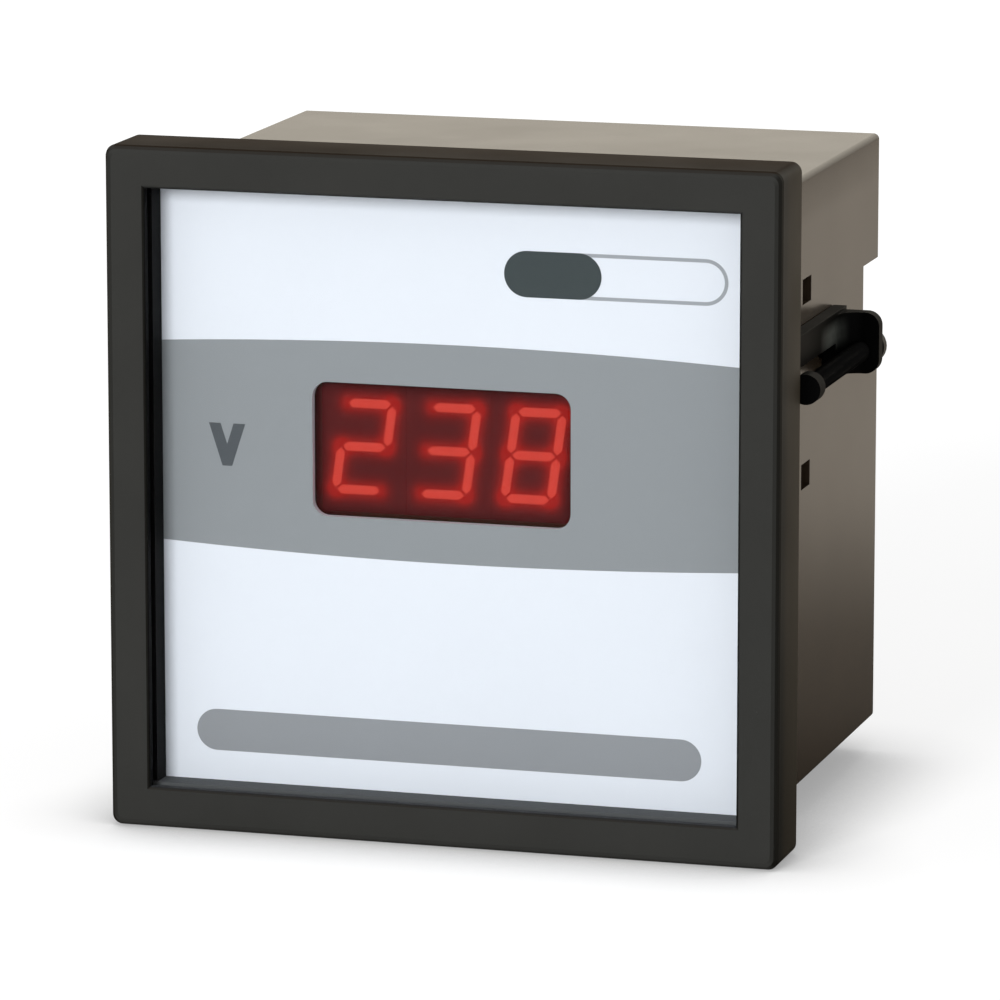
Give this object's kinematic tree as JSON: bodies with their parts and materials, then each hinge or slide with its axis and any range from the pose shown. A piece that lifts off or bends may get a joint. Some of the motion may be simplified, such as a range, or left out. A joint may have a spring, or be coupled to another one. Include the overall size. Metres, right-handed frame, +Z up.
{
  "type": "digital panel meter",
  "caption": "Square flush-mount digital panel meter with a deep frame, three red digits, side screw clamps and rear screw terminals.",
  "frame": {"origin": "centre of the panel plane, at the rear face of the front frame", "axes": "+Y into the panel (the meter's front looks along -Y), +Z up, +X to the right seen from the front"},
  "size_m": [0.102, 0.086, 0.096],
  "materials": {
    "charcoal_plastic": "fine-grained matt charcoal moulding",
    "clear_pane": "clear polished sheet",
    "black_plastic": "matt black moulding",
    "printed_white": "satin white printed plate with grey fields",
    "red_filter": "tinted clear sheet",
    "digit_plastic": "matt dark moulding",
    "lit_red": "glowing red light pipes",
    "dark_red": "unlit red light pipes",
    "board_green": "solder-masked laminate",
    "zinc_steel": "bright zinc plated",
    "component_black": "moulded epoxy",
    "core_steel": "varnished laminations",
    "copper_winding": "taped winding",
    "can_sleeve": "shrink sleeve",
    "resistor_blue": "lacquer",
    "varistor_blue": "lacquer",
    "crystal_can": "drawn can",
    "trimmer_blue": "moulded body",
    "rotor_white": "moulded rotor",
    "case_plastic": "satin warm dark grey moulding",
    "terminal_black": "flame-retardant moulding",
    "brass_contact": "stamped strip",
    "bracket_black": "semi-gloss black paint",
    "blackened_steel": "blackened",
    "pad_black": "moulded nylon"
  },
  "bodies": {
    "housing": {"bezel": "charcoal_plastic", "window_pane": "clear_pane", "spacer_frame": "black_plastic", "faceplate": "printed_white", "display_filter": "red_filter", "digit_1": "digit_plastic", "digit_2": "digit_plastic", "digit_3": "digit_plastic", "lit_segments": "lit_red", "dark_segments": "dark_red", "display_board": "board_green", "board_screws": "zinc_steel", "converter_chip": "component_black", "board_header": "component_black", "main_board": "board_green", "transformer_core": "core_steel", "transformer_winding": "copper_winding", "filter_capacitors": "can_sleeve", "rectifier_diodes": "component_black", "voltage_regulator": "component_black", "divider_resistors": "resistor_blue", "varistor": "varistor_blue", "crystal": "crystal_can", "trimmer_body": "trimmer_blue", "case": "case_plastic", "terminal_block": "terminal_black", "terminal_contacts": "brass_contact", "bracket_right": "bracket_black", "bracket_left": "bracket_black"},
    "trimmer_rotor": {"trimmer_rotor": "rotor_white"},
    "wire_clamp_1": {"wire_clamp_1": "zinc_steel"},
    "terminal_screw_1": {"terminal_screw_1": "zinc_steel"},
    "wire_clamp_2": {"wire_clamp_2": "zinc_steel"},
    "terminal_screw_2": {"terminal_screw_2": "zinc_steel"},
    "wire_clamp_3": {"wire_clamp_3": "zinc_steel"},
    "terminal_screw_3": {"terminal_screw_3": "zinc_steel"},
    "wire_clamp_4": {"wire_clamp_4": "zinc_steel"},
    "terminal_screw_4": {"terminal_screw_4": "zinc_steel"},
    "clamp_pad_right": {"clamp_pad_right": "pad_black"},
    "clamp_screw_right": {"clamp_screw_right": "blackened_steel"},
    "clamp_pad_left": {"clamp_pad_left": "pad_black"},
    "clamp_screw_left": {"clamp_screw_left": "blackened_steel"}
  },
  "joints": [
    {"name": "trimmer_turn", "type": "hinge", "parent": "housing", "child": "trimmer_rotor", "pos_m": [0.03125, 0.04805, -0.0286], "axis": [0, 0, 1], "range_deg": [-135, 135]},
    {"name": "wire_clamp_1_slide", "type": "slide", "parent": "housing", "child": "wire_clamp_1", "axis": [0, 1, 0], "range_m": [0, 0.003]},
    {"name": "terminal_screw_1_turn", "type": "hinge", "parent": "wire_clamp_1", "child": "terminal_screw_1", "pos_m": [-0.0144, 0.06895, -0.0217], "axis": [0, 1, 0], "range_deg": [0, 1805]},
    {"name": "wire_clamp_2_slide", "type": "slide", "parent": "housing", "child": "wire_clamp_2", "axis": [0, 1, 0], "range_m": [0, 0.003]},
    {"name": "terminal_screw_2_turn", "type": "hinge", "parent": "wire_clamp_2", "child": "terminal_screw_2", "pos_m": [-0.0048, 0.06895, -0.0217], "axis": [0, 1, 0], "range_deg": [0, 1805]},
    {"name": "wire_clamp_3_slide", "type": "slide", "parent": "housing", "child": "wire_clamp_3", "axis": [0, 1, 0], "range_m": [0, 0.003]},
    {"name": "terminal_screw_3_turn", "type": "hinge", "parent": "wire_clamp_3", "child": "terminal_screw_3", "pos_m": [0.0048, 0.06895, -0.0217], "axis": [0, 1, 0], "range_deg": [0, 1805]},
    {"name": "wire_clamp_4_slide", "type": "slide", "parent": "housing", "child": "wire_clamp_4", "axis": [0, 1, 0], "range_m": [0, 0.003]},
    {"name": "terminal_screw_4_turn", "type": "hinge", "parent": "wire_clamp_4", "child": "terminal_screw_4", "pos_m": [0.0144, 0.06895, -0.0217], "axis": [0, 1, 0], "range_deg": [0, 1805]},
    {"name": "clamp_pad_right_slide", "type": "slide", "parent": "housing", "child": "clamp_pad_right", "axis": [0, 1, 0], "range_m": [-0.0016, 0.0061]},
    {"name": "clamp_screw_right_turn", "type": "hinge", "parent": "clamp_pad_right", "child": "clamp_screw_right", "pos_m": [0.0482, 0.0052, 0.0164], "axis": [0, 1, 0], "range_deg": [-1160, 4400]},
    {"name": "clamp_pad_left_slide", "type": "slide", "parent": "housing", "child": "clamp_pad_left", "axis": [0, 1, 0], "range_m": [-0.0016, 0.0061]},
    {"name": "clamp_screw_left_turn", "type": "hinge", "parent": "clamp_pad_left", "child": "clamp_screw_left", "pos_m": [-0.0482, 0.0052, 0.0164], "axis": [0, 1, 0], "range_deg": [-1160, 4400]}
  ],
  "couplings": [
    {"joint": "terminal_screw_1_turn", "follows": "wire_clamp_1_slide", "rad_per_m": 10472},
    {"joint": "terminal_screw_2_turn", "follows": "wire_clamp_2_slide", "rad_per_m": 10472},
    {"joint": "terminal_screw_3_turn", "follows": "wire_clamp_3_slide", "rad_per_m": 10472},
    {"joint": "terminal_screw_4_turn", "follows": "wire_clamp_4_slide", "rad_per_m": 10472},
    {"joint": "clamp_screw_right_turn", "follows": "clamp_pad_right_slide", "rad_per_m": 12566},
    {"joint": "clamp_screw_left_turn", "follows": "clamp_pad_left_slide", "rad_per_m": 12566}
  ]
}
